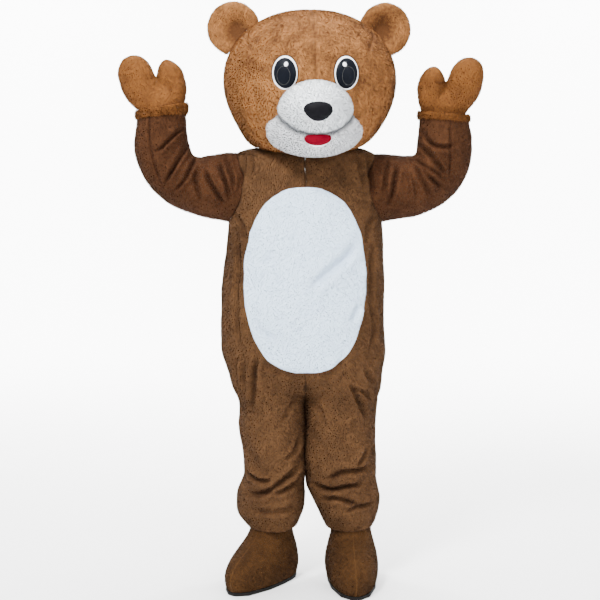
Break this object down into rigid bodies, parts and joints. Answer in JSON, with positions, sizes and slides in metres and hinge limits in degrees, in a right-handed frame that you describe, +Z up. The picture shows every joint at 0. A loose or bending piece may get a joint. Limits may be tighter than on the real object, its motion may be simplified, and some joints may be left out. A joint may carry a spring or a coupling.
{
  "type": "bear mascot costume",
  "caption": "Plush bear mascot costume in worn form: large head with round ears, one-piece suit with white belly, mitts and boot covers",
  "frame": {"origin": "the middle of the wearer's body at shoulder height, 1.42 m above the floor the costume stands over, where the worn costume hangs", "axes": "+Z up, the costume faces -Y, and +X is its left side, on the viewer's right"},
  "size_m": [1.1628, 0.6075, 1.92],
  "materials": {
    "head_plush": "plush",
    "suit_plush": "plush",
    "cuff_plush": "plush",
    "mitt_plush": "plush",
    "boot_plush": "plush",
    "white_plush": "plush",
    "mouth_felt": "felt",
    "nose_satin": "satin",
    "eye_white": "gloss",
    "eye_black": "gloss",
    "sole_rubber": "matte",
    "zip_nylon": "matte",
    "zip_metal": "satin"
  },
  "bodies": {
    "costume": {"head_left": "head_plush", "head_right": "head_plush", "ear_front_left": "head_plush", "ear_back_left": "head_plush", "ear_front_right": "head_plush", "ear_back_right": "head_plush", "muzzle": "white_plush", "jaw": "white_plush", "tongue": "mouth_felt", "nose": "nose_satin", "eye_white_left": "eye_white", "eye_white_right": "eye_white", "pupil_left": "eye_black", "pupil_right": "eye_black", "glint_left": "eye_white", "glint_right": "eye_white", "front_left": "suit_plush", "front_right": "suit_plush", "back_left": "suit_plush", "back_right": "suit_plush", "belly": "white_plush", "sleeve_left": "suit_plush", "sleeve_right": "suit_plush", "cuff_left": "cuff_plush", "cuff_right": "cuff_plush", "mitt_palm_left": "mitt_plush", "mitt_back_left": "mitt_plush", "mitt_palm_right": "mitt_plush", "mitt_back_right": "mitt_plush", "boot_outer_left": "boot_plush", "boot_inner_left": "boot_plush", "boot_outer_right": "boot_plush", "boot_inner_right": "boot_plush", "sole_left": "sole_rubber", "sole_right": "sole_rubber", "zip_chain": "zip_nylon", "zip_slider": "zip_metal"},
    "pull_tab": {"zip_pull": "zip_metal"}
  },
  "joints": [
    {"name": "pull_hinge", "type": "hinge", "parent": "costume", "child": "pull_tab", "pos_m": [0, 0.157, -0.0693], "axis": [1, 0, 0], "range_deg": [0, 120]}
  ]
}
